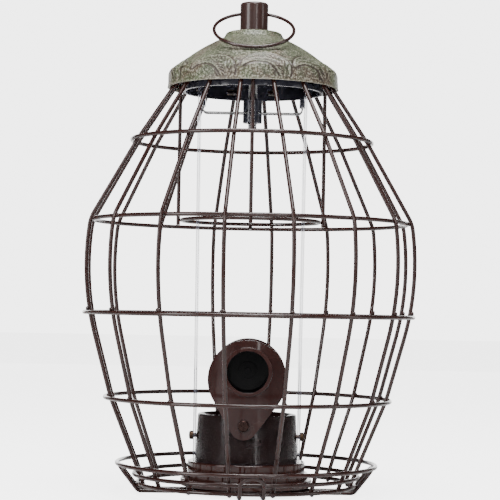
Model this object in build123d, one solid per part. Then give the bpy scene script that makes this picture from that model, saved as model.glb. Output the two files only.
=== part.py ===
from build123d import *
from math import asin, atan, atan2, cos, degrees, radians, sin, sqrt, tan
import os

# A squirrel proof bird feeder. A clear seed tube with two feeding ports stands in a cage of
# bent and welded wire, on a shallow wire tray. A domed lid closes the top, and a knob with a
# threaded rod draws the lid down on a nut that hangs in the tube. A ring through the knob
# hangs the feeder up.
# Millimetres, +Z up. The origin is on the resting plane, on the feeder's axis. One port looks
# along -Y and the other along +Y. Angles about the axis are counted from -Y towards +X.

# Clearances
seat_gap = 0.3
fit_gap = 0.08
face_gap = 0.05
weld_bite = 0.2
overrun = 2.0
bisection_steps = 40

# Wire
cage_wire = 2.8
tray_wire = 2.8
hoop_wire = 2.6
bail_wire = 1.0
ring_wire = 2.3

# Clear seed tube, from the base up
tube_top_radius = 38.0
tube_taper = 1.25
tube_wall = 1.3
tube_length = 262.0

# Base and its steps, from the bottom up. A reach goes beyond the step above, or the tube
base_disc_reach = 2.6
base_disc_height = 4.85
low_step_reach = 2.2
low_step_height = 4.4
top_step_reach = 3.45
top_step_height = 7.35
base_edge_fillet = 0.9
spigot_height = 7.0
clip_width = 6.0
clip_length = 8.0
clip_distance = 24.0
clip_wrap = 1.1
base_screw_head_radius = 5.0
base_screw_head_height = 2.6
base_screw_radius = 2.0
base_slot_width = 1.2
base_slot_depth = 1.1

# Cup in the foot of the tube
cup_slack = 0.15
cup_height = 32.0
cup_taper = 1.6
cup_wall = 2.0
cup_edge_radius = 1.0
cup_rim_width = 1.6
cup_rim_bend = 0.5
cup_dish_depth = 8.0
cup_dish_floor_radius = 20.0
cup_dish_bend = 8.0
cup_boss_radius = 5.0
cup_boss_gap = 1.5
cup_hole_depth = 4.0

# Feeding port: plate, lip and throat
port_roll = 3.6
throat_rise = 14.55
plate_top_rise = 21.2
plate_upper_radius = 26.6
plate_tip_radius = 9.5
plate_thickness = 2.6
plate_edge_fillet = 0.9
lip_wall = 2.5
lip_stand = 1.3
lip_edge_radius = 0.6
port_hole_radius = 14.0
throat_wall = 1.4
throat_end_distance = 16.0
throat_end_wall = 2.0
throat_ring_radius = 6.4
throat_ring_wall = 1.3
throat_ring_height = 1.6
throat_boss_radius = 2.3
throat_boss_height = 3.0
seed_slot_width = 16.0
seed_slot_start = 2.0
seed_slot_margin = 6.2
seed_slot_drop = 7.0
hole_slack = 0.25

# Screws of the ports and of the tube
port_screw_drop = 6.15
port_screw_head_radius = 4.0
port_screw_head_height = 2.6
port_screw_radius = 1.5
port_screw_length = 8.0
tube_screw_rise = 16.65
tube_screw_head_radius = 3.0
tube_screw_head_height = 2.8
tube_screw_radius = 1.4
tube_screw_length = 5.4
cross_width = 0.9
cross_depth = 1.1
head_edge_share = 0.55

# Cage: its widest corner, and its outline in shares of that radius and of the cage's height
rib_count = 16
cage_turn = 2.9
cage_corner_radius = 116.9
foot_radius_share = 0.61
lower_radius_share = 0.8144
shoulder_radius_share = 0.953
upper_radius_share = 0.6826
lower_level_share = 0.2133
waist_level_share = 0.4226
corner_level_share = 0.4987
shoulder_level_share = 0.6536
upper_level_share = 0.8546
rib_bend_shares = [0.0829, 0.88, 0.1103, 0.0592]
rib_foot_drop = 0.7
foot_ring_rise = 6.0
rib_top_overrun = 1.2

# Tray
tray_rim_reach = 17.39
tray_rim_rise = 13.4
hairpin_spacing = 15.5
hairpin_arch_radius = 6.9
hairpin_foot_bend = 4.0

# Guide hoop and collar at the cage's top
pass_clearance = 2.0
hoop_rise = 0.7
hoop_rod_count = 4
hoop_rod_stub = 3.4
collar_drop = 6.0
collar_wall = 2.0
collar_flange_height = 1.5
collar_flange_reach = 0.9
collar_window_count = 10
collar_window_height = 4.2
collar_window_sill = 3.4
collar_window_width = 8.6

# Lugs, bail wires and nut in the tube's top
lug_drop = 18.15
lug_height = 5.0
lug_width = 14.0
lug_thickness = 4.0
lug_wire_inset = 2.2
bail_drop = 4.7
bail_bend_radius = 3.0
bail_wire_top_gap = 1.2
nut_radius = 6.6
nut_below_bail = 6.9
nut_above_bail = 9.5
nut_joint_rise = 1.5
nut_edge_fillet = 0.6

# Lid: its overhang and rise, and its outline in shares of its rim radius and its rise
lid_overhang = 9.1
lid_overlap = 6.05
lid_rise = 39.4
top_ring_rise = 3.3
dome_wall = 1.7
dome_radius_shares = [1, 0.99, 0.625, 0.348, 0.326, 0]
dome_level_shares = [0, 0.287, 0.683, 0.906, 1, 1]
dome_bend_shares = [0.2535, 0.3226, 0.396, 0.542]
washer_radius = 8.0
washer_thickness = 1.2

# Knob, threaded rod and lock nut
knob_radius = 9.75
knob_height = 20.4
knob_top_fillet = 1.8
knob_foot_fillet = 0.4
knob_seat_gap = 0.1
ring_hole_height = 12.9
rod_radius = 3.15
rod_tip_reach = 3.9
rod_tip_chamfer = 0.8
rod_socket_roof = 1.5
thread_pitch = 1.27
thread_depth = 0.5
lock_nut_flats = 10.0
lock_nut_height = 4.6

# Hanging ring
hang_ring_radius = 27.2
ring_hole_slack = 0.35

# Heights of the tray's wires, the base and the tube
wire_step = tray_wire - weld_bite
cage_step = cage_wire - weld_bite
side_wire_height = tray_wire / 2
front_wire_height = side_wire_height + wire_step
floor_ring_height = front_wire_height + wire_step
rim_height = floor_ring_height + tray_rim_rise
base_bottom = front_wire_height + tray_wire / 2 + face_gap
disc_top = base_bottom + base_disc_height
low_step_top = disc_top + low_step_height
base_top = low_step_top + top_step_height
spigot_top = base_top + spigot_height
tube_foot = base_top + seat_gap
tube_top = tube_foot + tube_length
cup_top = tube_foot + cup_height
tube_screw_height = tube_foot + tube_screw_rise

# Radii of the tube, the base and the cup
tube_foot_radius = tube_top_radius - tube_taper
top_step_radius = tube_foot_radius + top_step_reach
low_step_radius = top_step_radius + low_step_reach
base_radius = low_step_radius + base_disc_reach
cup_foot_radius = tube_foot_radius - tube_wall - cup_slack
cup_top_radius = cup_foot_radius - cup_taper

# Ports
throat_radius = port_hole_radius + throat_wall
lip_radius = port_hole_radius + lip_wall
port_height = cup_top + throat_rise + throat_radius
plate_top_height = port_height + plate_top_rise
plate_tip_height = cup_top - port_screw_drop
tube_slope = tube_taper / tube_length
plate_inner_radius = tube_foot_radius + (plate_top_height - tube_foot) * tube_slope + face_gap
plate_outer_radius = plate_inner_radius + plate_thickness
lip_reach = plate_outer_radius + lip_stand

# Guide, collar and lid
pass_radius = sqrt(lip_reach**2 + lip_radius**2) + pass_clearance
hoop_radius = pass_radius + hoop_wire / 2
hoop_rod_radius = hoop_radius + hoop_wire - weld_bite
collar_radius = hoop_rod_radius - hoop_wire / 2 - face_gap
top_ring_radius = collar_radius + face_gap + cage_wire / 2
dome_rim_radius = top_ring_radius + lid_overhang
dome_rim_height = tube_top - lid_overlap
dome_top_height = dome_rim_height + lid_rise
dome_top_underside = dome_top_height - dome_wall
top_ring_height = dome_rim_height + top_ring_rise
collar_bottom_height = top_ring_height - collar_drop

# Cage
rib_end_height = floor_ring_height - rib_foot_drop
cage_rise = top_ring_height - rib_end_height
foot_ring_height = floor_ring_height + foot_ring_rise
lower_ring_height = rib_end_height + cage_rise * lower_level_share
waist_ring_height = rib_end_height + cage_rise * waist_level_share
shoulder_ring_height = rib_end_height + cage_rise * shoulder_level_share
upper_ring_height = rib_end_height + cage_rise * upper_level_share
upper_radius_from_axis = cage_corner_radius * upper_radius_share
rib_end_radius = cage_corner_radius * foot_radius_share
rim_radius = rib_end_radius + tray_rim_reach
hoop_height = shoulder_ring_height + hoop_rise

# Lugs, bail wires, nut, knob and ring
lug_bottom_height = tube_top - lug_drop
bail_height = lug_bottom_height - bail_drop
bail_wire_offset = (rod_radius + nut_radius) / 2
nut_bottom_height = bail_height - nut_below_bail
nut_joint_height = bail_height + nut_joint_rise
nut_top_height = bail_height + nut_above_bail
rod_tip_height = nut_bottom_height - rod_tip_reach
knob_foot = dome_top_height + knob_seat_gap
knob_top = knob_foot + knob_height
ring_hole_level = knob_foot + ring_hole_height
ring_sagitta = hang_ring_radius - sqrt(hang_ring_radius**2 - knob_radius**2)
ring_hole_radius = ring_sagitta / 2 + ring_wire / 2 + ring_hole_slack
ring_centre_distance = hang_ring_radius - ring_sagitta / 2
rod_socket_depth = ring_hole_height - ring_hole_radius - rod_socket_roof


def around(angle):
    """A turn about the feeder's axis that brings +X to an angle counted from -Y."""
    return Rot(0, 0, angle - 90)


def rod(radius, low, high, x=0, y=0):
    """An upright round bar between two heights."""
    return Pos(x, y, (low + high) / 2) * Cylinder(radius, high - low)


def lying_rod(radius, start, end, height):
    """A round bar along Y between two places, at a height over the origin."""
    return Pos(0, (start + end) / 2, height) * Rot(90, 0, 0) * Cylinder(radius, abs(end - start))


def tube_radius_at(height):
    """The clear tube's outer radius at a height."""
    return tube_foot_radius + (height - tube_foot) * tube_slope


def spun(points, radii):
    """A solid of revolution under an outline that starts and ends on other radii than zero."""
    outline = FilletPolyline(*[(r, 0, z) for r, z in points], radius=radii)
    (first_r, first_z), (last_r, last_z) = points[0], points[-1]
    ends = [Line((last_r, 0, last_z), (0, 0, last_z))] if last_r else []
    ends.append(Line((0, 0, last_z), (0, 0, first_z)))
    ends.append(Line((0, 0, first_z), (first_r, 0, first_z)))
    return revolve(make_face(Wire([*outline.edges(), *[e.edge() for e in ends]])), Axis.Z)


def inset(points, distance):
    """The corners of an outline moved inwards by a wall, with the same slopes."""
    headings = [atan2(a[0] - b[0], b[1] - a[1]) for a, b in zip(points, points[1:])]
    headings = [headings[0], *headings, headings[-1]]
    moved = []
    for (r, z), before, after in zip(points, headings, headings[1:]):
        middle = (before + after) / 2
        reach = distance / cos((after - before) / 2)
        moved.append((r - reach * cos(middle), z - reach * sin(middle)))
    return moved


def bend_radii(points, shares):
    """The radii of a line's bends, each of which takes a share of the shorter run beside it."""
    radii = []
    for before, corner, after, share in zip(points, points[1:], points[2:], shares):
        arriving, leaving = Vector(*corner) - Vector(*before), Vector(*after) - Vector(*corner)
        run = min(arriving.length, leaving.length)
        radii.append(share * run / tan(radians(arriving.get_angle(leaving)) / 2))
    return radii


# The rib's centre line, from its foot to its top, in the plane Y = 0
top_run = upper_radius_from_axis - top_ring_radius
top_rise = top_ring_height - upper_ring_height
top_reach = sqrt(top_run**2 + top_rise**2)
top_lean = atan2(top_run, top_rise) - asin(cage_step / top_reach)
top_length = sqrt(top_reach**2 - cage_step**2) + rib_top_overrun
rib_corners = [
    (rib_end_radius, rib_end_height),
    (cage_corner_radius * lower_radius_share, lower_ring_height),
    (cage_corner_radius, rib_end_height + cage_rise * corner_level_share),
    (cage_corner_radius * shoulder_radius_share, shoulder_ring_height),
    (upper_radius_from_axis, upper_ring_height),
    (
        upper_radius_from_axis - top_length * sin(top_lean),
        upper_ring_height + top_length * cos(top_lean),
    ),
]
rib_line = FilletPolyline(
    *[(r, 0, z) for r, z in rib_corners], radius=bend_radii(rib_corners, rib_bend_shares)
)


def beside_rib(level, side):
    """The place of a ring welded to the ribs: outside them for side 1, inside for side -1."""
    low, high = 0, 1
    for _ in range(bisection_steps):
        middle = (low + high) / 2
        along = rib_line % middle
        place = rib_line @ middle + Vector(along.Z, 0, -along.X) * side * cage_step
        low, high = (middle, high) if place.Z < level else (low, middle)
    return place


def wire_ring(place, wire):
    """A closed wire ring about the feeder's axis, through a place in the plane Y = 0."""
    return Pos(0, 0, place.Z) * Torus(place.X, wire / 2)


def swept_wire(path, wire):
    """Round wire along a path."""
    return sweep(Plane(origin=path @ 0, z_dir=path % 0) * Circle(wire / 2), path=path)


def rib():
    """One upright wire of the cage, in the plane Y = 0."""
    return swept_wire(rib_line, cage_wire)


def hairpin(height, floor_ring):
    """One closed tray wire along X: two runs under the floor and an upturned arch at each end."""
    rise = rim_height - floor_ring.Z
    run = rim_radius - floor_ring.X
    rim_inset = wire_step / sqrt(2)
    arch_radius = rim_radius - rim_inset
    arch_height = rim_height - rim_inset
    climb = atan2(rise - rim_inset, run - rim_inset)
    reach = sqrt((rise - rim_inset) ** 2 + (run - rim_inset) ** 2)
    climb += asin(wire_step / reach)
    foot_radius = arch_radius - (arch_height - height) / tan(climb)
    half = hairpin_spacing / 2
    corners = [
        (foot_radius, half, height),
        (arch_radius, half, arch_height),
        (arch_radius, -half, arch_height),
        (foot_radius, -half, height),
    ]
    mirrored = [(-x, -y, z) for x, y, z in corners]
    bends = [hairpin_foot_bend, hairpin_arch_radius, hairpin_arch_radius, hairpin_foot_bend]
    start = (0, half, height)
    middle = (0, -half, height)
    near = FilletPolyline(start, *corners, middle, radius=bends)
    far = FilletPolyline(middle, *mirrored, start, radius=bends)
    return swept_wire(near, tray_wire) + swept_wire(far, tray_wire)


def base():
    """The foot of the feeder: a stepped disc with a spigot for the cup, clipped on the tray."""
    body = rod(base_radius, base_bottom, disc_top)
    body = fillet(body.edges().group_by(Axis.Z)[-1], base_edge_fillet)
    steps = [(low_step_radius, disc_top, low_step_top), (top_step_radius, low_step_top, base_top)]
    for radius, low, high in steps:
        step = rod(radius, low, high)
        body += fillet(step.edges().group_by(Axis.Z)[-1], base_edge_fillet)
    narrowing = spigot_height * cup_taper / cup_height
    spigot_radius = cup_foot_radius - cup_wall - narrowing - seat_gap
    body += rod(spigot_radius, base_top, spigot_top)
    clip_bottom = front_wire_height - clip_wrap
    lug = Box(clip_width, clip_length, base_bottom + overrun / 2 - clip_bottom)
    wire = rod(tray_wire / 2 + face_gap, -clip_length, clip_length)
    for x in (-hairpin_spacing / 2, hairpin_spacing / 2):
        for y in (-clip_distance, clip_distance):
            place = Rot(0, 0, cage_turn) * Pos(x, y, (clip_bottom + base_bottom + overrun / 2) / 2)
            body += place * lug
            run = Rot(0, 0, cage_turn) * Pos(x, y, front_wire_height) * Rot(90, 0, 0)
            body -= run * wire
    body -= rod(base_screw_radius + fit_gap, -overrun, spigot_top + overrun)
    return body


def base_screw():
    """The screw that holds the cup down on the base, with a slot in its head."""
    head_top = base_bottom - face_gap
    head_bottom = head_top - base_screw_head_height
    boss_top = cup_top - cup_dish_depth - cup_wall
    body = rod(base_screw_head_radius, head_bottom, head_top)
    body += rod(base_screw_radius, head_top, (spigot_top + boss_top) / 2)
    slot = Box(2 * (base_screw_head_radius + overrun), base_slot_width, 2 * base_slot_depth)
    return body - Pos(0, 0, head_bottom) * slot


def port_place(side):
    """The frame of a port: its origin on the axis at the hole, -Y outwards, rolled a little."""
    return Rot(0, 0, side) * Pos(0, 0, port_height) * Rot(0, port_roll, 0)


def outwards(outline):
    """A port outline, drawn in X and Z about the hole, as a prism from the axis out along -Y."""
    return extrude(Plane.XZ * outline, amount=lip_reach + overrun)


def teardrop():
    """The port plate's outline: a large circle over a small one."""
    upper = plate_top_height - plate_upper_radius - port_height
    tip = plate_tip_height - port_height
    circles = Pos(0, upper) * Circle(plate_upper_radius)
    small = Pos(0, tip) * Circle(plate_tip_radius)
    return make_hull([*circles.edges(), *small.edges()])


def port_plate(side):
    """A teardrop plate that follows the tube, soft at its edges, with a lip about the hole."""
    place = port_place(side)
    body = place * outwards(teardrop()) & rod(plate_outer_radius, 0, tube_top)
    body -= rod(plate_inner_radius, 0, tube_top)
    front = body.faces().filter_by(GeomType.CYLINDER).sort_by(lambda face: face.area)[-1]
    body = fillet(front.edges(), plate_edge_fillet)
    lip = lying_rod(lip_radius, 0, -lip_reach, 0)
    lip = fillet(lip.edges().group_by(Axis.Y)[0], lip_edge_radius)
    body += place * lip - rod((plate_inner_radius + plate_outer_radius) / 2, 0, tube_top)
    body -= place * lying_rod(port_hole_radius, 0, -lip_reach - overrun, 0)
    tip = plate_tip_height - port_height
    return body - place * lying_rod(port_screw_radius + face_gap, 0, -lip_reach, tip)


def port_throat(side):
    """A dark sleeve behind the hole, closed at its inner end and open below for the seed."""
    place = port_place(side)
    inner_end = -throat_end_distance
    floor = inner_end - throat_end_wall
    mouth = -plate_outer_radius
    body = place * lying_rod(throat_radius, inner_end, mouth, 0)
    body &= rod(plate_inner_radius - face_gap, 0, tube_top)
    body -= place * lying_rod(port_hole_radius, floor, mouth - overrun, 0)
    ring = lying_rod(throat_ring_radius, inner_end, floor - throat_ring_height, 0)
    ring -= lying_rod(throat_ring_radius - throat_ring_wall, floor, mouth, 0)
    boss = lying_rod(throat_boss_radius, inner_end, floor - throat_boss_height, 0)
    body += place * ring
    body += place * boss
    slot_start = floor - seed_slot_start
    slot_end = seed_slot_margin - plate_inner_radius
    slot_height = throat_radius - seed_slot_drop + overrun
    slot = Pos(0, (slot_start + slot_end) / 2, -seed_slot_drop - slot_height / 2)
    slot *= Box(seed_slot_width, slot_start - slot_end, slot_height)
    return body - place * slot


def pan_screw(head_radius, head_height, radius, length):
    """A cross-head screw along Y: its head outwards from Y = 0 and its shank inwards."""
    head = lying_rod(head_radius, 0, -head_height, 0)
    head = fillet(head.edges().group_by(Axis.Y)[0], head_height * head_edge_share)
    for width, height in ((head_radius, cross_width), (cross_width, head_radius)):
        head -= Pos(0, -head_height, 0) * Box(width, 2 * cross_depth, height)
    return head + lying_rod(radius, 0, length, 0)


def port_screws():
    """The screws that hold the tips of the two port plates on the cup."""
    tip = plate_tip_height - port_height
    seat = Pos(0, -plate_outer_radius - face_gap, tip)
    screw = seat * pan_screw(
        port_screw_head_radius, port_screw_head_height, port_screw_radius, port_screw_length
    )
    return Compound(children=[port_place(side) * screw for side in (0, 180)])


def tube_screws():
    """The screws at the tube's left and right that hold it on the cup."""
    seat = Pos(0, -tube_radius_at(tube_screw_height) - face_gap, tube_screw_height)
    screw = seat * pan_screw(
        tube_screw_head_radius, tube_screw_head_height, tube_screw_radius, tube_screw_length
    )
    return Compound(children=[Rot(0, 0, side) * screw for side in (90, -90)])


def screw_holes():
    """What the four screws and the clearance round them take out of the tube and the cup."""
    tip = plate_tip_height - port_height
    port_hole = lying_rod(port_screw_radius + face_gap, 0, -lip_reach, tip)
    tube_hole = lying_rod(tube_screw_radius + face_gap, 0, -lip_reach, tube_screw_height)
    holes = [port_place(side) * port_hole for side in (0, 180)]
    return holes + [Rot(0, 0, side) * tube_hole for side in (90, -90)]


def seed_tube():
    """The clear tube, a little wider at its top, with a round opening for each port."""
    middle = (tube_foot + tube_top) / 2
    body = Pos(0, 0, middle) * Cone(tube_foot_radius, tube_top_radius, tube_length)
    bore_foot = tube_foot_radius - tube_wall
    bore_top = tube_top_radius - tube_wall
    body -= Pos(0, 0, middle) * Cone(bore_foot, bore_top, tube_length)
    for side in (0, 180):
        body -= port_place(side) * lying_rod(throat_radius + hole_slack, 0, -lip_reach, 0)
    for hole in screw_holes():
        body -= hole
    return body


def cup():
    """The tube's floor: a cup upside down, whose roof is a dish that holds the seed."""
    dish_floor = cup_top - cup_dish_depth
    dish_radius = cup_top_radius - cup_rim_width
    outline = [
        (cup_foot_radius, tube_foot),
        (cup_top_radius, cup_top),
        (dish_radius, cup_top),
        (cup_dish_floor_radius, dish_floor),
        (0, dish_floor),
    ]
    body = spun(outline, [cup_edge_radius, cup_rim_bend, cup_dish_bend])
    dish_slope = cup_dish_depth / (dish_radius - cup_dish_floor_radius)
    roof = [
        (cup_foot_radius, tube_foot),
        (cup_top_radius, cup_top + cup_rim_width * dish_slope),
        (cup_dish_floor_radius, dish_floor),
        (0, dish_floor),
    ]
    hollow = inset(roof, cup_wall)
    hollow[0] = (cup_foot_radius - cup_wall, tube_foot - overrun)
    hollow[-1] = (0, dish_floor - cup_wall)
    body -= spun(hollow, [cup_rim_bend, cup_dish_bend + cup_wall])
    boss = rod(cup_boss_radius, spigot_top + cup_boss_gap, dish_floor - cup_wall / 2)
    body += boss - rod(base_screw_radius + fit_gap, 0, dish_floor - cup_wall)
    for hole in screw_holes():
        body -= hole - rod(cup_foot_radius - cup_hole_depth, 0, tube_top)
    return body


bore_at_lug = tube_radius_at(lug_bottom_height) - tube_wall - face_gap
bail_half_width = bore_at_lug - lug_wire_inset


def lug(side):
    """A dark lug on the tube's bore that holds the upturned ends of the bail wires."""
    low = bore_at_lug - lug_thickness
    block = Pos((low + bore_at_lug) / 2, 0, lug_bottom_height + lug_height / 2)
    block *= Box(lug_thickness, lug_width, lug_height)
    block &= rod(bore_at_lug, 0, tube_top)
    top = lug_bottom_height + lug_height - bail_wire_top_gap + face_gap
    for y in (-bail_wire_offset, bail_wire_offset):
        block -= rod(bail_wire / 2 + face_gap, 0, top, bail_half_width, y)
    return Rot(0, 0, side) * block


def bail_wires():
    """Two thin wires across the tube, one each side of the rod, that carry the nut."""
    top = lug_bottom_height + lug_height - bail_wire_top_gap
    wires = []
    for y in (-bail_wire_offset, bail_wire_offset):
        path = FilletPolyline(
            (-bail_half_width, y, top),
            (-bail_half_width, y, bail_height),
            (bail_half_width, y, bail_height),
            (bail_half_width, y, top),
            radius=bail_bend_radius,
        )
        wires.append(swept_wire(path, bail_wire))
    return Compound(children=wires)


def nut_part(low, high, rounded):
    """A round nut half about the rod, with a channel in its top for each wire that it lies on."""
    body = rod(nut_radius, low, high)
    body = fillet(body.edges().group_by(Axis.Z)[rounded], nut_edge_fillet)
    body -= rod(rod_radius + fit_gap, low - overrun, high + overrun)
    channel_floor = bail_height - bail_wire / 2 - face_gap
    channel = Box(2 * (nut_radius + overrun), bail_wire + 2 * face_gap, high + overrun - channel_floor)
    for y in (-bail_wire_offset, bail_wire_offset):
        if low < channel_floor:
            body -= Pos(0, y, (channel_floor + high + overrun) / 2) * channel
    return body


def hoop_rod(number):
    """One upright wire between the cage's top ring and the guide hoop."""
    place = around(360 / hoop_rod_count * number) * Pos(hoop_rod_radius, 0, 0)
    top = top_ring_height - (cage_wire / 2 - weld_bite)
    return place * rod(hoop_wire / 2, hoop_height - hoop_rod_stub, top)


dome_outline = [
    (dome_rim_radius * radius_share, dome_rim_height + lid_rise * level_share)
    for radius_share, level_share in zip(dome_radius_shares, dome_level_shares)
]
dome_bends = bend_radii(dome_outline, dome_bend_shares)
(shoulder_radius, shoulder_height), (middle_radius, middle_height) = dome_outline[1:3]
dome_slope = (middle_height - shoulder_height) / (shoulder_radius - middle_radius)


def collar():
    """The dark guide ring in the cage's mouth: it hangs on the top wire and carries the lid."""
    roof = shoulder_height + (shoulder_radius - collar_radius) * dome_slope
    top = roof - dome_wall * sqrt(1 + dome_slope**2) - seat_gap
    flange = top_ring_height + cage_wire / 2 + face_gap
    body = rod(collar_radius, collar_bottom_height, top)
    body += rod(collar_radius + collar_flange_reach, flange, flange + collar_flange_height)
    body -= rod(collar_radius - collar_wall, collar_bottom_height - overrun, top + overrun)
    window = Box(2 * (collar_wall + overrun), collar_window_width, collar_window_height)
    level = collar_bottom_height + collar_window_sill + collar_window_height / 2
    for number in range(collar_window_count):
        turn = around(360 / collar_window_count * (number + 0.5))
        body -= turn * Pos(collar_radius, 0, level) * window
    return body


def dome():
    """The lid: a thin pressed dome with a raised round seat for the knob."""
    body = spun(dome_outline, dome_bends)
    hollow = inset(dome_outline, dome_wall)
    hollow[0] = (dome_rim_radius - dome_wall, dome_rim_height - overrun)
    hollow[-1] = (0, dome_top_underside)
    shoulder_bend, middle_bend, neck_bend, plateau_bend = dome_bends
    inner_bends = [
        shoulder_bend - dome_wall,
        middle_bend - dome_wall,
        neck_bend + dome_wall,
        plateau_bend - dome_wall,
    ]
    body -= spun(hollow, inner_bends)
    return body - rod(rod_radius + fit_gap, dome_rim_height, dome_top_height + overrun)


def lid_washer():
    """The washer between the lid's seat and the lock nut."""
    top = dome_top_underside - face_gap
    body = rod(washer_radius, top - washer_thickness, top)
    return body - rod(rod_radius + fit_gap, dome_rim_height, dome_top_height)


def lock_nut():
    """The hexagon nut on the rod that keeps the knob on the lid."""
    top = dome_top_underside - face_gap - washer_thickness - knob_seat_gap
    hexagon = RegularPolygon(lock_nut_flats / 2, 6, major_radius=False)
    body = extrude(Pos(0, 0, top - lock_nut_height) * hexagon, amount=lock_nut_height)
    return body - rod(rod_radius + face_gap, dome_rim_height, dome_top_height)


def knob():
    """The round knob on the lid, drilled across for the ring and from below for the rod."""
    body = rod(knob_radius, knob_foot, knob_top)
    body = fillet(body.edges().group_by(Axis.Z)[-1], knob_top_fillet)
    body = fillet(body.edges().group_by(Axis.Z)[0], knob_foot_fillet)
    across = Pos(0, 0, ring_hole_level) * Rot(0, 90, 0)
    body -= across * Cylinder(ring_hole_radius, 2 * (knob_radius + overrun))
    socket_top = knob_foot + rod_socket_depth + face_gap
    return body - rod(rod_radius + face_gap, knob_foot - overrun, socket_top)


def threaded_rod():
    """The rod under the knob, with its thread as close rings."""
    top = knob_foot + rod_socket_depth
    thread_end = knob_foot - thread_pitch
    turns = int((thread_end - rod_tip_height - rod_tip_chamfer) / thread_pitch)
    root = rod_radius - thread_depth
    points = [(0, rod_tip_height), (rod_radius - rod_tip_chamfer, rod_tip_height)]
    for turn in range(turns):
        crest = rod_tip_height + rod_tip_chamfer + turn * thread_pitch
        points.append((rod_radius, crest))
        points.append((root, crest + thread_pitch / 2))
    points.append((rod_radius, rod_tip_height + rod_tip_chamfer + turns * thread_pitch))
    points.append((rod_radius, top))
    points.append((0, top))
    outline = Polyline(*[(r, 0, z) for r, z in points], close=True)
    return revolve(make_face(outline), Axis.Z)


ring_fall = atan(dome_slope)
ring_far_end = ring_centre_distance + hang_ring_radius
ring_drop = ring_hole_level - middle_height - middle_radius * dome_slope
ring_lift = ring_drop * cos(ring_fall) - ring_wire / 2 - seat_gap
ring_rest_angle = degrees(ring_fall + asin(ring_lift / ring_far_end))


def hang_ring():
    """The wire ring through the knob, lying on the front of the lid."""
    lying = Rot(ring_rest_angle, 0, 0) * Pos(0, -ring_centre_distance, 0)
    return Pos(0, 0, ring_hole_level) * lying * Torus(hang_ring_radius, ring_wire / 2)


floor_ring_place = beside_rib(floor_ring_height, 1)
in_cage = Rot(0, 0, cage_turn)

pieces = {}
for number in range(rib_count):
    turn = around(cage_turn + 360 / rib_count * (number + 0.5))
    pieces[f"rib_{number + 1:02d}"] = turn * rib()
pieces["tray_floor_ring"] = wire_ring(floor_ring_place, tray_wire)
pieces["foot_ring"] = wire_ring(beside_rib(foot_ring_height, 1), cage_wire)
pieces["lower_ring"] = wire_ring(beside_rib(lower_ring_height, 1), cage_wire)
pieces["waist_ring"] = wire_ring(beside_rib(waist_ring_height, 1), cage_wire)
pieces["shoulder_ring"] = wire_ring(beside_rib(shoulder_ring_height, -1), cage_wire)
pieces["upper_ring"] = wire_ring(beside_rib(upper_ring_height, 1), cage_wire)
pieces["top_ring"] = wire_ring(Vector(top_ring_radius, 0, top_ring_height), cage_wire)
pieces["tray_rim_ring"] = wire_ring(Vector(rim_radius, 0, rim_height), tray_wire)
pieces["side_hairpin"] = in_cage * hairpin(side_wire_height, floor_ring_place)
pieces["front_hairpin"] = in_cage * Rot(0, 0, 90) * hairpin(front_wire_height, floor_ring_place)
pieces["guide_hoop"] = wire_ring(Vector(hoop_radius, 0, hoop_height), hoop_wire)
for number in range(hoop_rod_count):
    pieces[f"hoop_rod_{number + 1}"] = hoop_rod(number)
pieces["collar"] = collar()
pieces["base"] = base()
pieces["base_screw"] = base_screw()
pieces["seed_tube"] = seed_tube()
pieces["cup"] = cup()
for name, side in (("front", 0), ("back", 180)):
    pieces[f"{name}_port_plate"] = port_plate(side)
    pieces[f"{name}_port_throat"] = port_throat(side)
pieces["port_screws"] = port_screws()
pieces["tube_screws"] = tube_screws()
pieces["right_lug"] = lug(0)
pieces["left_lug"] = lug(180)
pieces["bail_wires"] = bail_wires()
pieces["nut_body"] = nut_part(nut_bottom_height, nut_joint_height, 0)
pieces["nut_cap"] = nut_part(nut_joint_height + face_gap, nut_top_height, -1)
pieces["dome"] = dome()
pieces["lid_washer"] = lid_washer()
pieces["knob"] = knob()
pieces["threaded_rod"] = threaded_rod()
pieces["lock_nut"] = lock_nut()
pieces["hang_ring"] = hang_ring()

os.makedirs("parts", exist_ok=True)
for name, piece in pieces.items():
    export_step(piece, f"parts/{name}.step")
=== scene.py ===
"""The looks of a squirrel proof bird feeder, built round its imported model.

A clear seed tube stands in a cage of bent and welded wire on a shallow wire tray, under a
textured lid. Everything is in metres, with +Z up and the front port towards -Y.
"""

import logging
import math
import random
from dataclasses import dataclass, field, replace
from enum import Enum
from typing import Iterable, Optional, Sequence, Union

import bmesh
import bpy
from mathutils import Matrix, Vector, noise


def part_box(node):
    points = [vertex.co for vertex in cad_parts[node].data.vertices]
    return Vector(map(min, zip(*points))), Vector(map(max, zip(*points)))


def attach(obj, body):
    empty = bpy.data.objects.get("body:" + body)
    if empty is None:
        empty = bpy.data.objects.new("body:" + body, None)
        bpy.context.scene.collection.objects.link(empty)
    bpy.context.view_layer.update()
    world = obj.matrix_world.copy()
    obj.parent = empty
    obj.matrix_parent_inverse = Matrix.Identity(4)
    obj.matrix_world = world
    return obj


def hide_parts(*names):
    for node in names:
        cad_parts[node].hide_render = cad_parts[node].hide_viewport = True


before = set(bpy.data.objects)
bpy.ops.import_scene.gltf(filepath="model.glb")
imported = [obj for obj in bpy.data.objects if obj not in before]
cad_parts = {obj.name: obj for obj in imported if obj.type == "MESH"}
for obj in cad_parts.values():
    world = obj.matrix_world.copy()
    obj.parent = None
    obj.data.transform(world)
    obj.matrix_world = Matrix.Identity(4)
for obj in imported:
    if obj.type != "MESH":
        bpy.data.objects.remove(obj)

Colour = tuple[float, float, float]
Place = tuple[float, float, float]
Span = tuple[float, float]

LOG = logging.getLogger("feeder")
MM = 0.001
MERGE_DISTANCE = 1e-6
BEVEL_SAMPLES = 4
BLACK: Colour = (0.0, 0.0, 0.0)
WHITE: Colour = (1.0, 1.0, 1.0)
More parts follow.
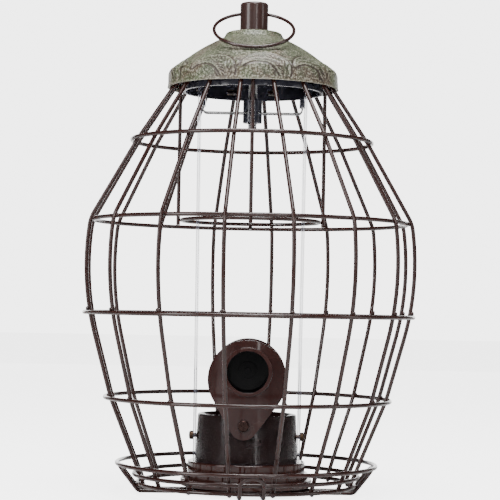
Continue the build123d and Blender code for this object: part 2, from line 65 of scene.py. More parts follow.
# Nearly all the values of a noise texture lie in this span.
NOISE_SPAN: Span = (0.3, 0.7)
# The rim mark carries a painted highlight along the lid's lower edge.
LID_MARKS = ("relief", "rim_highlight_band", "lowness")
RIBS = tuple(f"rib_{number:02d}" for number in range(1, 17))
WELDED_RINGS = ("foot_ring", "lower_ring", "waist_ring", "shoulder_ring", "upper_ring")


def srgb(red: int, green: int, blue: int) -> Colour:
    """Turns a colour's 0 to 255 values into linear ones.

    Args:
        red: Red value.
        green: Green value.
        blue: Blue value.

    Returns:
        The linear colour.
    """
    shares = (red / 255, green / 255, blue / 255)
    return tuple(c / 12.92 if c <= 0.04045 else ((c + 0.055) / 1.055) ** 2.4 for c in shares)


def clamp(value: float) -> float:
    """Keeps a value between 0 and 1."""
    return min(max(value, 0), 1)


# Shader maths


class Signal:
    """A socket's output that takes part in plain arithmetic."""

    def __init__(self, net: "Net", socket: bpy.types.NodeSocket) -> None:
        """Keeps the socket and the net of nodes that it belongs to.

        Args:
            net: The nodes being joined.
            socket: The output socket.
        """
        self.net = net
        self.socket = socket

    def _math(self, operation: str, first: "Term", second: "Term") -> "Signal":
        """Adds one Math node.

        Args:
            operation: The node's operation.
            first: Its first value.
            second: Its second value.

        Returns:
            The node's output.
        """
        return self.net.node("ShaderNodeMath", {"operation": operation}, {0: first, 1: second})

    def __add__(self, other: "Term") -> "Signal":
        """Sum."""
        return self._math("ADD", self, other)

    def __radd__(self, other: "Term") -> "Signal":
        """Sum, reflected."""
        return self._math("ADD", other, self)

    def __sub__(self, other: "Term") -> "Signal":
        """Difference."""
        return self._math("SUBTRACT", self, other)

    def __rsub__(self, other: "Term") -> "Signal":
        """Difference, reflected."""
        return self._math("SUBTRACT", other, self)

    def __mul__(self, other: "Term") -> "Signal":
        """Product."""
        return self._math("MULTIPLY", self, other)

    def __rmul__(self, other: "Term") -> "Signal":
        """Product, reflected."""
        return self._math("MULTIPLY", other, self)


Term = Union[Signal, float]
Tone = Union[Signal, Colour]


class Net:
    """A tree of nodes, to which each kind of node is added in one way."""

    def __init__(self, tree: bpy.types.NodeTree) -> None:
        """Keeps the tree.

        Args:
            tree: The node tree.
        """
        self.tree = tree

    def node(
        self,
        kind: str,
        settings: dict[str, object],
        sockets: dict[Union[int, str], object],
        output: Union[int, str] = 0,
    ) -> Signal:
        """Adds a node.

        Args:
            kind: The node's type.
            settings: Its properties, which are set first.
            sockets: Values or signals of its inputs.
            output: The output to give back.

        Returns:
            The chosen output.
        """
        made = self.tree.nodes.new(kind)
        for key, value in settings.items():
            setattr(made, key, value)
        for key, value in sockets.items():
            socket = made.inputs[key]
            if isinstance(value, Signal):
                self.tree.links.new(value.socket, socket)
            elif isinstance(value, tuple) and socket.type == "RGBA":
                socket.default_value = (*value, 1)
            else:
                socket.default_value = value
        return Signal(self, made.outputs[output])


@dataclass(frozen=True)
class Grain:
    """A noise: its size in metres, its finer layers and their strength, and its swirl."""

    size: float
    detail: float = 2
    rough: float = 0.55
    swirl: float = 0


@dataclass(frozen=True)
class Layer:
    """A colour that covers others, up to a share, as a value goes through a span."""

    colour: Colour
    span: Span
    share: float = 1


class Paint(Net):
    """One material's node tree, which ends in a Principled shader."""

    def __init__(self, name: str, **fixed: Union[float, Colour]) -> None:
        """Starts a material.

        Args:
            name: The material's name.
            fixed: Constants of the shader's sockets, named in small letters.
        """
        self.material = bpy.data.materials.new(name)
        self.material.use_nodes = True
        super().__init__(self.material.node_tree)
        self.shader = self.tree.nodes["Principled BSDF"]
        for key, value in fixed.items():
            socket = self.shader.inputs[key.replace("_", " ").title().replace("Ior", "IOR")]
            socket.default_value = (*value, 1) if isinstance(value, tuple) else value
        self.place = self.node("ShaderNodeTexCoord", {}, {}, "Object")

    def noise(self, grain: Grain) -> Signal:
        """Cloudy noise over the piece.

        Args:
            grain: What the noise is like.

        Returns:
            A value from 0 to 1.
        """
        sockets = {
            "Vector": self.place, "Scale": 1 / grain.size, "Detail": grain.detail,
            "Roughness": grain.rough, "Distortion": grain.swirl,
        }
        return self.node("ShaderNodeTexNoise", {}, sockets, "Fac")

    def streaks(self, scale: Place, turn: Place = (0, 0, 0)) -> Signal:
        """Noise that is stretched one way.

        Args:
            scale: How many grains a metre holds along each axis.
            turn: How the stretched noise is turned about each axis, in radians.

        Returns:
            A value from 0 to 1.
        """
        mapping = {"Vector": self.place, "Rotation": turn, "Scale": scale}
        mapped = self.node("ShaderNodeMapping", {}, mapping)
        return self.node("ShaderNodeTexNoise", {}, {"Vector": mapped, "Scale": 1.0, "Detail": 1.0}, "Fac")

    def mark(self, name: str) -> Signal:
        """A value that the mesh holds for each of its points.

        Args:
            name: The attribute's name.

        Returns:
            The value.
        """
        return self.node("ShaderNodeAttribute", {"attribute_name": name}, {}, "Fac")

    def step(self, value: Signal, span: Span, result: Span = (0, 1)) -> Signal:
        """Maps a value smoothly from one range to another.

        Args:
            value: The value.
            span: Where the step starts and ends.
            result: What it gives there.

        Returns:
            The mapped value.
        """
        sockets = {0: value, 1: span[0], 2: span[1], 3: result[0], 4: result[1]}
        return self.node("ShaderNodeMapRange", {"interpolation_type": "SMOOTHSTEP"}, sockets)

    def vary(self, value: Signal, middle: float, play: Span) -> Signal:
        """Lets noise vary a number.

        Args:
            value: The noise.
            middle: The number.
            play: What is added to it where the noise is low and where it is high.

        Returns:
            The varied number.
        """
        return self.step(value, NOISE_SPAN, (middle + play[0], middle + play[1]))

    def mix(self, share: Term, first: Tone, second: Tone) -> Signal:
        """Mixes two colours.

        Args:
            share: The second colour's share.
            first: The first colour.
            second: The second colour.

        Returns:
            The mixed colour.
        """
        return self.node("ShaderNodeMix", {"data_type": "RGBA"}, {0: share, 6: first, 7: second}, 2)

    def lay(self, tone: Tone, layer: Layer, value: Signal) -> Signal:
        """Covers a colour with a layer.

        Args:
            tone: The colour so far.
            layer: The layer.
            value: The value that says where it lies.

        Returns:
            The covered colour.
        """
        return self.mix(self.step(value, layer.span, (0, layer.share)), tone, layer.colour)

    def bump(self, height: Signal, distance: float, edge: float = 0) -> None:
        """Gives the shader a bump.

        Args:
            height: The height, from 0 to 1.
            distance: What a height of 1 stands for, in metres.
            edge: The radius in metres by which sharp edges look rounded.
        """
        sockets = {"Height": height, "Distance": distance, "Strength": 1.0}
        if edge:
            sockets["Normal"] = self.node("ShaderNodeBevel", {"samples": BEVEL_SAMPLES}, {"Radius": edge})
        self.feed(Normal=self.node("ShaderNodeBump", {}, sockets, "Normal"))

    def feed(self, **signals: Signal) -> None:
        """Links signals to the shader.

        Args:
            signals: Signals by the socket's name, with an underscore for a space.
        """
        for key, value in signals.items():
            self.tree.links.new(value.socket, self.shader.inputs[key.replace("_", " ")])


# Finishes


@dataclass(frozen=True)
class Coating:
    """Glossy brown powder coat on wire, a little uneven, lighter where it is worn."""

    name: str = "brown_powder_coat"
    colour: Colour = srgb(50, 26, 22)
    worn: Colour = srgb(72, 47, 41)
    roughness: float = 0.2
    speck: Grain = Grain(1.1 * MM)
    lump: Grain = Grain(9 * MM)
    cloud: Grain = Grain(27 * MM, 4)
    coat: float = 0.35
    coat_roughness: float = 0.05
    shine: float = 0.35
    roughness_play: Span = (-0.05, 0.09)
    dark: float = 0.72
    dark_span: Span = (0.35, 0.75)
    wear_span: Span = (0.56, 0.74)
    wear_share: float = 0.3
    wear_speck_share: float = 0.4
    height: float = 0.05 * MM
    height_speck_share: float = 0.1

    def make(self) -> bpy.types.Material:
        """Builds the material.

        Returns:
            The material.
        """
        paint = Paint(
            self.name, coat_weight=self.coat, coat_roughness=self.coat_roughness,
            specular_ior_level=self.shine,
        )
        cloud = paint.noise(self.cloud)
        speck = paint.noise(self.speck)
        darker = tuple(c * self.dark for c in self.colour)
        tone = paint.lay(self.colour, Layer(darker, self.dark_span), cloud)
        wear = speck * self.wear_speck_share + cloud * (1 - self.wear_speck_share)
        tone = paint.lay(tone, Layer(self.worn, self.wear_span, self.wear_share), wear)
        paint.feed(Base_Color=tone, Roughness=paint.vary(cloud, self.roughness, self.roughness_play))
        lumps = paint.noise(self.lump) * (1 - self.height_speck_share)
        paint.bump(lumps + speck * self.height_speck_share, self.height)
        return paint.material


@dataclass(frozen=True)
class Moulding:
    """Moulded plastic: a base tone, faint flow marks and a few fine scratches."""

    name: str
    colour: Colour
    light: Colour
    roughness: float
    coat: float
    shine: float
    edge: float = 0.6 * MM
    coat_roughness: float = 0.08
    roughness_play: Span = (-0.05, 0.07)
    flow: Grain = Grain(22 * MM, 4, 0.5, 0.6)
    light_span: Span = (0.35, 0.7)
    scratch_scale: Place = (90, 1500, 1500)
    scratch_turn: Place = (0.5, 0.7, 0.4)
    scratch_span: Span = (0.72, 0.78)
    scratch_light: float = 0.2
    scratch_roughness: float = 0.12
    scratch_depth: float = 0.4
    height: float = 0.04 * MM

    def make(self) -> bpy.types.Material:
        """Builds the material.

        Returns:
            The material.
        """
        paint = Paint(
            self.name, coat_weight=self.coat, coat_roughness=self.coat_roughness,
            specular_ior_level=self.shine,
        )
        cloud = paint.noise(self.flow)
        scratches = paint.step(paint.streaks(self.scratch_scale, self.scratch_turn), self.scratch_span)
        tone = paint.lay(self.colour, Layer(self.light, self.light_span), cloud)
        tone = paint.mix(scratches * self.scratch_light, tone, self.light)
        rough = paint.vary(cloud, self.roughness, self.roughness_play)
        paint.feed(Base_Color=tone, Roughness=rough + scratches * self.scratch_roughness)
        paint.bump(cloud - scratches * self.scratch_depth, self.height, self.edge)
        return paint.material


@dataclass(frozen=True)
class LidPaint:
    """Speckled moss green paint over a leaf relief, brown in its grooves and in patches. The grooves also
    carry painted shade, and the leaf ridges and the rim's lower edge carry painted highlights.
    """

    name: str = "lid_moss_paint"
    green: Colour = srgb(90, 98, 70)
    cream: Colour = srgb(192, 189, 172)
    shade: Layer = Layer(srgb(59, 64, 43), (0.35, 0.66))
    brown: Layer = Layer(srgb(100, 75, 65), (0.51, 0.66), 0.6)
    pale_speck: Layer = Layer(cream, (0.51, 0.62), 0.46)
    dark_speck: Layer = Layer(srgb(34, 27, 21), (0.48, 0.38), 0.55)
    # groove: real brown in the relief's grooves, darkened further as painted shade
    groove: Layer = Layer(srgb(46, 28, 22), (0.52, 0.12), 0.85)
    # ridge: cream on the raised leaf edges, a painted highlight
    ridge: Layer = Layer(cream, (0.8, 1), 0.3)
    # cream line along the rim's lower edge: a painted highlight
    rim_highlight_share: float = 0.18
    low_brown: float = 0.1
    cloud: Grain = Grain(34 * MM, 4, 0.6)
    patch: Grain = Grain(23 * MM, 5, 0.65, 0.4)
    speck: Grain = Grain(1.2 * MM, 1, 0.5)
    pit: Grain = Grain(2.8 * MM)
    coat: float = 0.2
    coat_roughness: float = 0.32
    shine: float = 0.45
    roughness: Span = (0.36, 0.56)
    height: float = 0.5 * MM
    height_speck_share: float = 0.6

    def make(self) -> bpy.types.Material:
        """Builds the material.

        Returns:
            The material.
        """
        paint = Paint(
            self.name, coat_weight=self.coat, coat_roughness=self.coat_roughness,
            specular_ior_level=self.shine,
        )
        relief, edge, low = (paint.mark(name) for name in LID_MARKS)
        cloud = paint.noise(self.cloud)
        patch = paint.noise(self.patch)
        speck = paint.noise(self.speck)
        tone = self.green
        for layer, value in (
            (self.shade, cloud),
            (self.brown, patch + low * self.low_brown),
            (self.pale_speck, speck),
            (self.dark_speck, speck),
            # the grooves: brown plus painted shade
            (self.groove, relief),
            # the ridges: painted highlight
            (self.ridge, relief),
        ):
            tone = paint.lay(tone, layer, value)
        # painted highlight along the rim's lower edge
        tone = paint.mix(edge * self.rim_highlight_share, tone, self.cream)
        paint.feed(Base_Color=tone, Roughness=paint.step(speck, NOISE_SPAN, self.roughness))
        pits = paint.noise(self.pit) * (1 - self.height_speck_share)
        paint.bump(speck * self.height_speck_share + pits, self.height)
        return paint.material


@dataclass(frozen=True)
class ClearPlastic:
    """Thin clear plastic with a lavender grey edge, soft waves and light rub marks."""

    name: str = "clear_tube_plastic"
    tint: Colour = (0.24, 0.24, 0.31)
    ior: float = 1.45
    edge_blend: float = 0.22
    edge_span: Span = (0.41, 0.64)
    edge_alpha: float = 0.85
    rub: Grain = Grain(9 * MM, 4, 0.65)
    rub_span: Span = (0.45, 0.75)
    rub_roughness: float = 0.12
    roughness: float = 0.08
    wave_scale: Place = (70, 70, 17.5)
    wave_height: float = 0.08 * MM

    def make(self) -> bpy.types.Material:
        """Builds the material.

        Returns:
            The material.
        """
        paint = Paint(self.name, base_color=self.tint, ior=self.ior)
        edge = paint.node("ShaderNodeLayerWeight", {}, {"Blend": self.edge_blend}, "Facing")
        rub = paint.step(paint.noise(self.rub), self.rub_span)
        alpha = paint.step(edge, self.edge_span, (0, self.edge_alpha))
        paint.feed(Alpha=alpha, Roughness=self.roughness + rub * self.rub_roughness)
        paint.bump(paint.streaks(self.wave_scale), self.wave_height)
        return paint.material


@dataclass(frozen=True)
class Plating:
    """Plated or bare steel, with fine turning marks and a little tarnish."""

    name: str
    colour: Colour
    tarnish: Colour
    roughness: float
    roughness_play: Span = (-0.08, 0.14)
    cloud: Grain = Grain(1.6 * MM, 4, 0.6)
    tarnish_span: Span = (0.42, 0.7)
    tarnish_share: float = 0.8
    turning: Grain = Grain(0.25 * MM)
    height: float = 0.03 * MM

    def make(self) -> bpy.types.Material:
        """Builds the material.

        Returns:
            The material.
        """
        paint = Paint(self.name, metallic=1.0)
        cloud = paint.noise(self.cloud)
        tone = paint.lay(self.colour, Layer(self.tarnish, self.tarnish_span, self.tarnish_share), cloud)
        paint.feed(Base_Color=tone, Roughness=paint.vary(cloud, self.roughness, self.roughness_play))
        paint.bump(paint.noise(self.turning), self.height)
        return paint.material


class Finish(Enum):
    """The finishes of the feeder: each one's slot in the record, and what wears it."""

    WIRE = ("wire", "cage and tray")
    LID = ("lid_paint", "lid")
    KNOB = ("knob_paint", "knob")
    PORT = ("port_plastic", "port plates")
    BASE = ("base_plastic", "base")
    CUP = ("dark_plastic", "cup")
    THROAT = ("dark_plastic", "throats of the ports")
    COLLAR = ("dark_plastic", "collar, lugs and nut")
    CLEAR = ("clear_plastic", "tube")
    SCREW = ("screw_steel", "screws of tube and base")
    PORT_SCREW = ("screw_steel", "screws of the ports")
    STEEL = ("plain_steel", "rod and its fittings")

    @property
    def slot(self) -> str:
        """The record's material slot."""
        return self.value[0]

    @property
    def wearer(self) -> str:
        """What wears the finish."""
        return self.value[1]


RECIPES: dict[Finish, Union[Coating, Moulding, LidPaint, ClearPlastic, Plating]] = {
    Finish.WIRE: Coating(),
    Finish.LID: LidPaint(),
    Finish.KNOB: Coating(
        "knob_powder_coat", srgb(60, 39, 36), srgb(82, 62, 58), roughness=0.3,
        speck=Grain(0.8 * MM), lump=Grain(5 * MM), cloud=Grain(15 * MM, 4), coat=0.4,
    ),
    Finish.PORT: Moulding(
        "port_plastic", srgb(46, 19, 16), srgb(55, 27, 23), roughness=0.26, coat=0.4, shine=0.2, edge=1 * MM
    ),
    Finish.BASE: Moulding(
        "base_plastic", srgb(44, 17, 12), srgb(53, 24, 18), roughness=0.1, coat=0.4, shine=0.25, edge=1 * MM
    ),
    Finish.CUP: Moulding(
        "cup_plastic", srgb(26, 12, 12), srgb(34, 19, 19), roughness=0.2, coat=0.1, shine=0.3
    ),
    Finish.THROAT: Moulding(
        "throat_plastic", srgb(9, 8, 10), srgb(14, 13, 16), roughness=0.16, coat=0.2, shine=0.1
    ),
    Finish.COLLAR: Moulding(
        "collar_plastic", srgb(44, 44, 53), srgb(60, 60, 71), roughness=0.25, coat=0.15, shine=0.3
    ),
    Finish.CLEAR: ClearPlastic(),
    Finish.SCREW: Plating("bronzed_screw", srgb(76, 61, 50), srgb(38, 29, 24), roughness=0.34),
    Finish.PORT_SCREW: Plating("browned_screw", srgb(62, 47, 44), srgb(36, 26, 24), roughness=0.2),
    Finish.STEEL: Plating("zinc_steel", srgb(176, 176, 178), srgb(112, 108, 104), roughness=0.3),
}


class Workshop:
    """Makes each finish once and puts it on pieces."""

    def __init__(self) -> None:
        """Starts with no finish made."""
        self.made: dict[Finish, bpy.types.Material] = {}

    def finish(self, piece: bpy.types.Object, finish: Finish) -> None:
        """Dresses a piece.

        Args:
            piece: The piece or node.
            finish: Its finish.
        """
        if finish not in self.made:
            self.made[finish] = RECIPES[finish].make()
        piece.data.materials.clear()
        piece.data.materials.append(self.made[finish])

    def nodes(self, finish: Finish, names: Iterable[str]) -> None:
        """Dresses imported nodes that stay.

        Args:
            finish: Their finish.
            names: The nodes' names.
        """
        for name in names:
            self.finish(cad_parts[name], finish)
            LOG.info("node %s keeps its shape, finished as %s", name, finish.wearer)

    def piece(
        self, mesh: bmesh.types.BMesh, name: str, finish: Finish, body: str, smooth: float
    ) -> bpy.types.Object:
        """Turns a mesh into a piece that rides on a body.

        Args:
            mesh: The mesh, in place. It is freed.
            name: The piece's name.
            finish: Its finish.
            body: The body that it rides on.
            smooth: The angle in degrees under which its edges are smooth.

        Returns:
            The piece.
        """
        data = bpy.data.meshes.new(name)
        for edge in mesh.edges:
            if len(edge.link_faces) == 2:
                edge.smooth = edge.calc_face_angle(0) < math.radians(smooth)
        for face in mesh.faces:
            face.smooth = True
        mesh.to_mesh(data)
        mesh.free()
        made = bpy.data.objects.new(name, data)
        bpy.context.scene.collection.objects.link(made)
        self.finish(made, finish)
        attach(made, body)
        LOG.info("piece %s rides on %s, with %d faces", name, body, len(data.polygons))
        return made


# Lid


@dataclass(frozen=True)
class Leaf:
    """One leaf of the relief, whose middle rib is part of a circle on the lid's slope.

    Its lengths are in metres and its angles in radians. Its heights are shares of the
    relief's depth, from 0 in the deepest groove to 1 on its edge.
    """

    turn: float
    level: float
    reach: float
    start: float
    sweep: float
    half_width: float
    taper: float = 0.7
    ridge: float = 1.0 * MM
    groove: float = 1.9 * MM
    groove_top: float = 0.45
    half_rib: float = 1.1 * MM
    vein_pitch: float = 3.1 * MM
    vein_slant: float = 1.3
    vein_foot: float = 0.12
    vein_rise: float = 0.62
    vein_sharpness: float = 1.4

    def height(self, across: float, up: float) -> Optional[float]:
        """The relief at a place of the slope.

        Args:
            across: The place round the slope from the circle's centre, in metres.
            up: The place up the slope from the rim, in metres.

        Returns:
            A height from 0 to 1, or None where the leaf doesn't reach.
        """
        up -= self.level
        side = abs(math.hypot(across, up) - self.reach)
        if side > self.half_width + self.groove:
            return None
        turned = (math.atan2(up, across) - self.start) * math.copysign(1, self.sweep) % (2 * math.pi)
        along = turned / abs(self.sweep)
        if along > 1:
            return None
        gap = side - self.half_width * math.sin(math.pi * along**self.taper) ** self.taper
        if gap > self.groove:
            return None
        if gap > 0:
            return self.groove_top * (gap / self.groove) ** 2
        if gap > -self.ridge:
            return 1.0
        rib = math.sqrt(max(0, 1 - side / self.half_rib))
        vein = (turned * self.reach - side * self.vein_slant) / self.vein_pitch
        wave = (1 + math.cos(2 * math.pi * vein)) / 2
        return max(self.vein_foot + self.vein_rise * wave**self.vein_sharpness, rib)


@dataclass
class Lid:
    """The domed lid, with its leaf relief.

    The corners of its outer skin run from the rim to the seat, as shares of its radius and
    height. Large arched leaves stand round the slope, with small ones in their gaps.
    """

    shop: Workshop
    segments: int = 576
    wall: float = 1.8 * MM
    hole: float = 8 * MM
    radius_shares: Sequence[float] = (1, 0.99, 0.625, 0.348, 0.326)
    level_shares: Sequence[float] = (0, 0.287, 0.683, 0.906, 1)
    bends: Sequence[float] = (2.9 * MM, 6 * MM, 1.5 * MM, 2.1 * MM)
    bend_segments: int = 6
    least_mitre: float = 0.5
    fine: float = 0.5 * MM
    halvings: int = 8
    smooth: float = 60
    skirt: float = 11.3 * MM
    skirt_radius: float = 58 * MM
    # height over which the rim's painted highlight fades
    rim_highlight_band: float = 1.1 * MM
    rim_flat: float = 0.2 * MM
    least_outward: float = 0.3
    depth: float = 0.75 * MM
    band: float = 31 * MM
    band_rise_share: float = 0.55
    band_foot: float = 1.2 * MM
    foot_fade: float = 1.4 * MM
    top_fade: float = 6 * MM
    plain: float = 0.7
    ground: float = 0.55
    ground_grain: float = 0.25
    grain_scale: float = 270
    grain_rise: float = 20
    leaf_radius: float = 54 * MM
    leaf_count: int = 9
    leaf_seed: int = 11
    sway: float = 0.1
    lift: float = 0.8 * MM
    growth: float = 0.07
    twist: float = math.radians(9)
    breadth: float = 0.1
    kinds: Sequence[Leaf] = (
        Leaf(
            turn=0.24, level=3.5 * MM, reach=9 * MM, half_width=3.4 * MM,
            start=math.radians(200), sweep=math.radians(-150),
        ),
        Leaf(
            turn=-0.1, level=2.5 * MM, reach=15.5 * MM, half_width=5.4 * MM,
            start=math.radians(-14), sweep=math.radians(172),
        ),
    )
    leaves: list[Leaf] = field(init=False)

    def __post_init__(self) -> None:
        """Lays the leaves."""
        self.leaves = self.grow()

    def grow(self) -> list[Leaf]:
        """Lays leaves of each kind round the slope, each a little different.

        Returns:
            The leaves.
        """
        dice = random.Random(self.leaf_seed)
        leaves = []
        for number in range(self.leaf_count):
            middle = 2 * math.pi * (number + dice.uniform(-self.sway, self.sway)) / self.leaf_count
            for kind in self.kinds:
                leaf = replace(
                    kind,
                    turn=middle + kind.turn,
                    level=kind.level + dice.uniform(-self.lift, self.lift),
                    reach=kind.reach * dice.uniform(1 - self.growth, 1 + self.growth),
                    start=kind.start + dice.uniform(-self.twist, self.twist),
                    half_width=kind.half_width * dice.uniform(1 - self.breadth, 1 + self.breadth),
                )
                leaves.append(leaf)
        return leaves

    def relief(self, turn: float, radius: float, up: float) -> float:
        """The relief's height at a place.

        Args:
            turn: The angle about the axis.
            radius: The distance from the axis.
            up: The distance up the skin from the rim.

        Returns:
            A height from 0 to 1.
        """
        around = Vector((math.cos(turn), math.sin(turn), up * self.grain_rise))
        height = self.ground + self.ground_grain * noise.noise(around * radius * self.grain_scale)
        for leaf in self.leaves:
            apart = (turn - leaf.turn + math.pi) % (2 * math.pi) - math.pi
            found = leaf.height(apart * (radius + self.leaf_radius) / 2, up)
            if found is not None:
                height = found
        share = clamp((self.band - up) / self.top_fade) * clamp((up - self.band_foot) / self.foot_fade)
        return self.plain * (1 - share) + height * share

    def section(self, mesh: bmesh.types.BMesh, low: Vector, high: Vector) -> None:
        """Draws the lid's section with rounded corners, fine where the relief lies.

        Args:
            mesh: The mesh to draw in.
            low: The lowest corner of the lid's box.
            high: The highest one.
        """
        rise = high.z - low.z
        outer = [
            Vector((high.x * radius, 0, low.z + rise * level))
            for radius, level in zip(self.radius_shares, self.level_shares)
        ] + [Vector((self.hole, 0, high.z))]
        inner = []
        for index, corner in enumerate(outer):
            ways = [b - a for a, b in zip(outer[max(0, index - 1) :], outer[max(1, index) : index + 2])]
            sides = [Vector((-way.z, 0, way.x)).normalized() for way in ways]
            middle = sum(sides, Vector()).normalized()
            inner.append(corner + middle * self.wall / max(self.least_mitre, middle.dot(sides[0])))
        inner[0].z = low.z
        ring = [mesh.verts.new(point) for point in outer + inner[::-1]]
        for first, second in zip(ring, ring[1:] + ring[:1]):
            mesh.edges.new((first, second))
        for corner, bend in zip(ring[1:], self.bends):
            bmesh.ops.bevel(
                mesh, geom=[corner], offset=bend, offset_type="OFFSET", segments=self.bend_segments,
                profile=0.5, affect="VERTICES", material=-1,
            )
        for _ in range(self.halvings):
            long = [edge for edge in mesh.edges if edge.calc_length() > self.fine and self.shown(edge, outer)]
            if long:
                bmesh.ops.subdivide_edges(mesh, edges=long, cuts=1)

    def shown(self, edge: bmesh.types.BMEdge, outer: Sequence[Vector]) -> bool:
        """Whether an edge of the section belongs to the outer skin's relief band.

        Args:
            edge: The edge.
            outer: The corners of the outer skin.

        Returns:
            True where the relief lies.
        """
        rim, shoulder, seat = outer[:3]
        middle = (edge.verts[0].co + edge.verts[1].co) / 2
        gap = abs((middle - shoulder).cross((seat - shoulder).normalized()).y)
        on_skirt = abs(middle.x - rim.x) < self.wall / 2 and middle.z < shoulder.z
        in_band = middle.z < rim.z + self.skirt + self.band * self.band_rise_share
        return in_band and (on_skirt or gap < self.wall / 2)

    def carve(self, mesh: bmesh.types.BMesh, rim: float) -> None:
        """Presses the relief into the outer skin and stores it for the paint.

        Args:
            mesh: The lid.
            rim: The rim's height.
        """
        relief, edge, low = (mesh.verts.layers.float.new(name) for name in LID_MARKS)
        mesh.normal_update()
        for vertex in mesh.verts:
            place = vertex.co
            radius = math.hypot(place.x, place.y)
            up = place.z - rim
            vertex[low] = max(0, 1 - up / self.band)
            # the rim mark, for the painted highlight along the lower edge
            vertex[edge] = max(0, 1 - up / self.rim_highlight_band)
            vertex[relief] = self.plain
            outward = vertex.normal.dot(Vector((place.x, place.y, radius)).normalized())
            if outward < self.least_outward or up < self.rim_flat:
                continue
            if up > self.skirt:
                up = self.skirt + math.hypot(up - self.skirt, self.skirt_radius - radius)
            vertex[relief] = self.relief(math.atan2(place.y, place.x), radius, up)
            vertex.co = place - vertex.normal * self.depth * (1 - vertex[relief])

    def build(self) -> None:
        """Spins the lid's section, carves its relief and lets it stand for the plain dome."""
        low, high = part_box("dome")
        mesh = bmesh.new()
        self.section(mesh, low, high)
        bmesh.ops.spin(
            mesh, geom=mesh.verts[:] + mesh.edges[:], cent=(0, 0, 0), axis=(0, 0, 1),
            angle=2 * math.pi, steps=self.segments, use_merge=True,
        )
        bmesh.ops.remove_doubles(mesh, verts=mesh.verts, dist=MERGE_DISTANCE)
        bmesh.ops.recalc_face_normals(mesh, faces=mesh.faces)
        self.carve(mesh, low.z)
        shell = self.shop.piece(mesh, "lid_shell", Finish.LID, "lid", self.smooth)
        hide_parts("dome")


# Cage


@dataclass
class Welds:
    """The weld beads where the cage's wires cross, flattened and a little lumpy.

    Length, width and height say how far a ball of the radius is stretched each way.
    """

    shop: Workshop
    wire_radius: float = 1.4 * MM
    radius: float = 1.55 * MM
    radius_play: float = 0.15
    length: Span = (1.0, 1.35)
    width: float = 0.72
    height: Span = (0.8, 1.1)
    lump: float = 0.12
    lump_scale: float = 900
    lump_shift: float = 1000
    subdivisions: int = 2
    smooth: float = 80
    seed: int = 3

    def crossings(self) -> list[tuple[Vector, Vector]]:
        """Finds where each rib touches each ring.

        Returns:
            The touching place and the ring's direction there.
        """
        rings = []
        for ring in WELDED_RINGS:
            low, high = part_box(ring)
            rings.append((high.x - self.wire_radius, (low.z + high.z) / 2))
        found = []
        for rib in RIBS:
            points = [vertex.co.copy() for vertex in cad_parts[rib].data.vertices]
            middle = sum(points, Vector()) / len(points)
            turn = math.atan2(middle.y, middle.x)
            along = Vector((-math.sin(turn), math.cos(turn), 0))
            for radius, level in rings:
                centre = Vector((radius * math.cos(turn), radius * math.sin(turn), level))
                near = min(points, key=lambda point: (point - centre).length_squared)
                found.append((near, along))
        return found

    def build(self) -> None:
        """Puts a bead at each crossing."""
        dice = random.Random(self.seed)
        mesh = bmesh.new()
        for place, along in self.crossings():
            radius = self.radius * dice.uniform(1 - self.radius_play, 1 + self.radius_play)
            made = bmesh.ops.create_icosphere(mesh, subdivisions=self.subdivisions, radius=radius)
            side = Vector((0, 0, 1)).cross(along).normalized()
            turn = Matrix((along, side, along.cross(side))).transposed()
            stretch = Matrix.Diagonal((dice.uniform(*self.length), self.width, dice.uniform(*self.height)))
            for vertex in made["verts"]:
                lump = self.lump * noise.noise(vertex.co * self.lump_scale + place * self.lump_shift)
                vertex.co = place + turn @ (stretch @ (vertex.co * (1 + lump)))
        self.shop.piece(mesh, "cage_weld_beads", Finish.WIRE, "cage", self.smooth)


# Stage


@dataclass(frozen=True)
class Lamp:
    """A soft light, whose power is in watts, and which may leave out matt surfaces."""

    name: str
    place: Place
    size: tuple[float, float]
    power: float
    lights_matt: bool = True


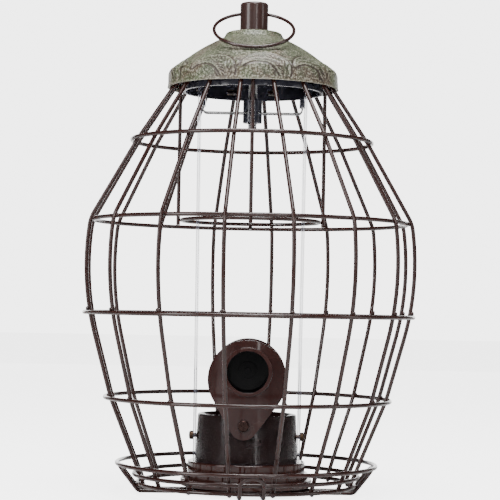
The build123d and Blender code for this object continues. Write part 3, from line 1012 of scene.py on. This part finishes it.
@dataclass(frozen=True)
class Studio:
    """The plain floor, the soft lights and the camera.

    The camera's lens and sensor are in millimetres, and its pitch and roll in degrees. The
    surroundings are bright where they are seen, and dim where they light the feeder.
    """

    eye: Place = (0, -1.223, 0.129)
    lens: float = 127.6
    sensor: float = 36
    near: float = 0.05
    pitch: float = 1.78
    roll: float = 1.05
    bright: float = 4.4
    dim: float = 0.1
    floor_bright: float = 3.75
    floor_half: float = 6
    paper: Colour = (0.92, 0.92, 0.92)
    paper_roughness: float = 0.9
    aim: Place = (0, 0, 0.16)
    lamps: Sequence[Lamp] = (
        Lamp("overhead_softbox", (0.1, -0.35, 1.5), (0.9, 0.9), 14),
        Lamp("overhead_strip", (0, -0.2, 1.3), (0.6, 0.12), 8),
        Lamp("left_softbox", (-1.2, -1.0, 0.75), (0.6, 1.3), 18),
        Lamp("right_softbox", (1.3, -0.35, 0.7), (0.25, 1.2), 3),
        Lamp("front_softbox", (0.12, -2.0, 1.1), (0.5, 0.4), 8),
        Lamp("front_strip", (0.72, -1.9, 0.45), (0.18, 1.3), 6),
        Lamp("backdrop_glow", (0, 2.4, 0.4), (2.4, 1.0), 26, lights_matt=False),
        Lamp("overhead_glint", (0, -0.5, 1.45), (1.2, 0.8), 12, lights_matt=False),
    )

    def seen(self, net: Net) -> Signal:
        """Whether a ray comes from the camera, at most through clear plastic.

        Args:
            net: The nodes to add it to.

        Returns:
            A value of 1 for such rays.
        """
        names = ("Is Camera Ray", "Is Transmission Ray", "Diffuse Depth", "Glossy Depth")
        camera, clear, matt, gloss = (net.node("ShaderNodeLightPath", {}, {}, name) for name in names)
        return net.node("ShaderNodeClamp", {}, {0: (camera + clear) * (1 - (matt + gloss))})

    def floor(self) -> None:
        """Lays the pale floor."""
        mesh = bmesh.new()
        bmesh.ops.create_grid(mesh, x_segments=1, y_segments=1, size=self.floor_half)
        data = bpy.data.meshes.new("studio_floor")
        mesh.to_mesh(data)
        mesh.free()
        made = bpy.data.objects.new("studio_floor", data)
        bpy.context.scene.collection.objects.link(made)
        paint = Paint(
            "studio_paper", roughness=self.paper_roughness, base_color=self.paper,
            emission_strength=self.floor_bright,
        )
        paint.feed(Emission_Color=paint.mix(self.seen(paint), BLACK, WHITE))
        data.materials.append(paint.material)

    def hang(self, lamp: Lamp) -> None:
        """Hangs one soft light that looks at the feeder.

        Args:
            lamp: The light.
        """
        data = bpy.data.lights.new(lamp.name, "AREA")
        data.shape = "RECTANGLE"
        data.size, data.size_y = lamp.size
        data.energy = lamp.power
        made = bpy.data.objects.new(lamp.name, data)
        made.location = lamp.place
        way = Vector(self.aim) - Vector(lamp.place)
        made.rotation_euler = way.to_track_quat("-Z", "Y").to_euler()
        made.visible_camera = False
        made.visible_diffuse = lamp.lights_matt
        bpy.context.scene.collection.objects.link(made)

    def surround(self) -> None:
        """Whitens the surroundings where they are seen, and keeps them dim as a light."""
        world = bpy.data.worlds.new("studio_white")
        world.use_nodes = True
        net = Net(world.node_tree)
        background = net.tree.nodes["Background"]
        background.inputs["Color"].default_value = (*WHITE, 1)
        strength = self.dim + self.seen(net) * (self.bright - self.dim)
        net.tree.links.new(strength.socket, background.inputs["Strength"])
        bpy.context.scene.world = world

    def camera(self) -> None:
        """Sets the camera at the photograph's viewing angle."""
        data = bpy.data.cameras.new("camera")
        data.lens = self.lens
        data.sensor_width = self.sensor
        data.clip_start = self.near
        made = bpy.data.objects.new("camera", data)
        pitch = Matrix.Rotation(math.radians(90 + self.pitch), 4, "X")
        roll = Matrix.Rotation(math.radians(self.roll), 4, "Z")
        made.matrix_world = Matrix.Translation(self.eye) @ pitch @ roll
        bpy.context.scene.collection.objects.link(made)
        bpy.context.scene.camera = made

    def build(self) -> None:
        """Sets the whole stage."""
        self.floor()
        for lamp in self.lamps:
            self.hang(lamp)
        self.surround()
        self.camera()


def main() -> None:
    """Builds the feeder's pieces in order and reports them."""
    logging.basicConfig(level=logging.INFO, format="%(name)s: %(message)s")
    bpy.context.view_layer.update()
    Studio().build()
    shop = Workshop()
    tray = ["tray_floor_ring", "tray_rim_ring", "side_hairpin", "front_hairpin"]
    guide = ["guide_hoop"] + [f"hoop_rod_{number}" for number in range(1, 5)]
    shop.nodes(Finish.WIRE, [*RIBS, *WELDED_RINGS, "top_ring", *tray, *guide, "hang_ring"])
    shop.nodes(Finish.BASE, ["base"])
    shop.nodes(Finish.PORT, ["front_port_plate", "back_port_plate"])
    shop.nodes(Finish.CUP, ["cup"])
    shop.nodes(Finish.THROAT, ["front_port_throat", "back_port_throat"])
    shop.nodes(Finish.COLLAR, ["collar", "right_lug", "left_lug", "nut_body", "nut_cap"])
    shop.nodes(Finish.CLEAR, ["seed_tube"])
    shop.nodes(Finish.SCREW, ["tube_screws", "base_screw"])
    shop.nodes(Finish.PORT_SCREW, ["port_screws"])
    shop.nodes(Finish.STEEL, ["bail_wires", "threaded_rod", "lock_nut", "lid_washer"])
    shop.nodes(Finish.KNOB, ["knob"])
    Lid(shop).build()
    Welds(shop).build()


if __name__ == "__main__":
    main()
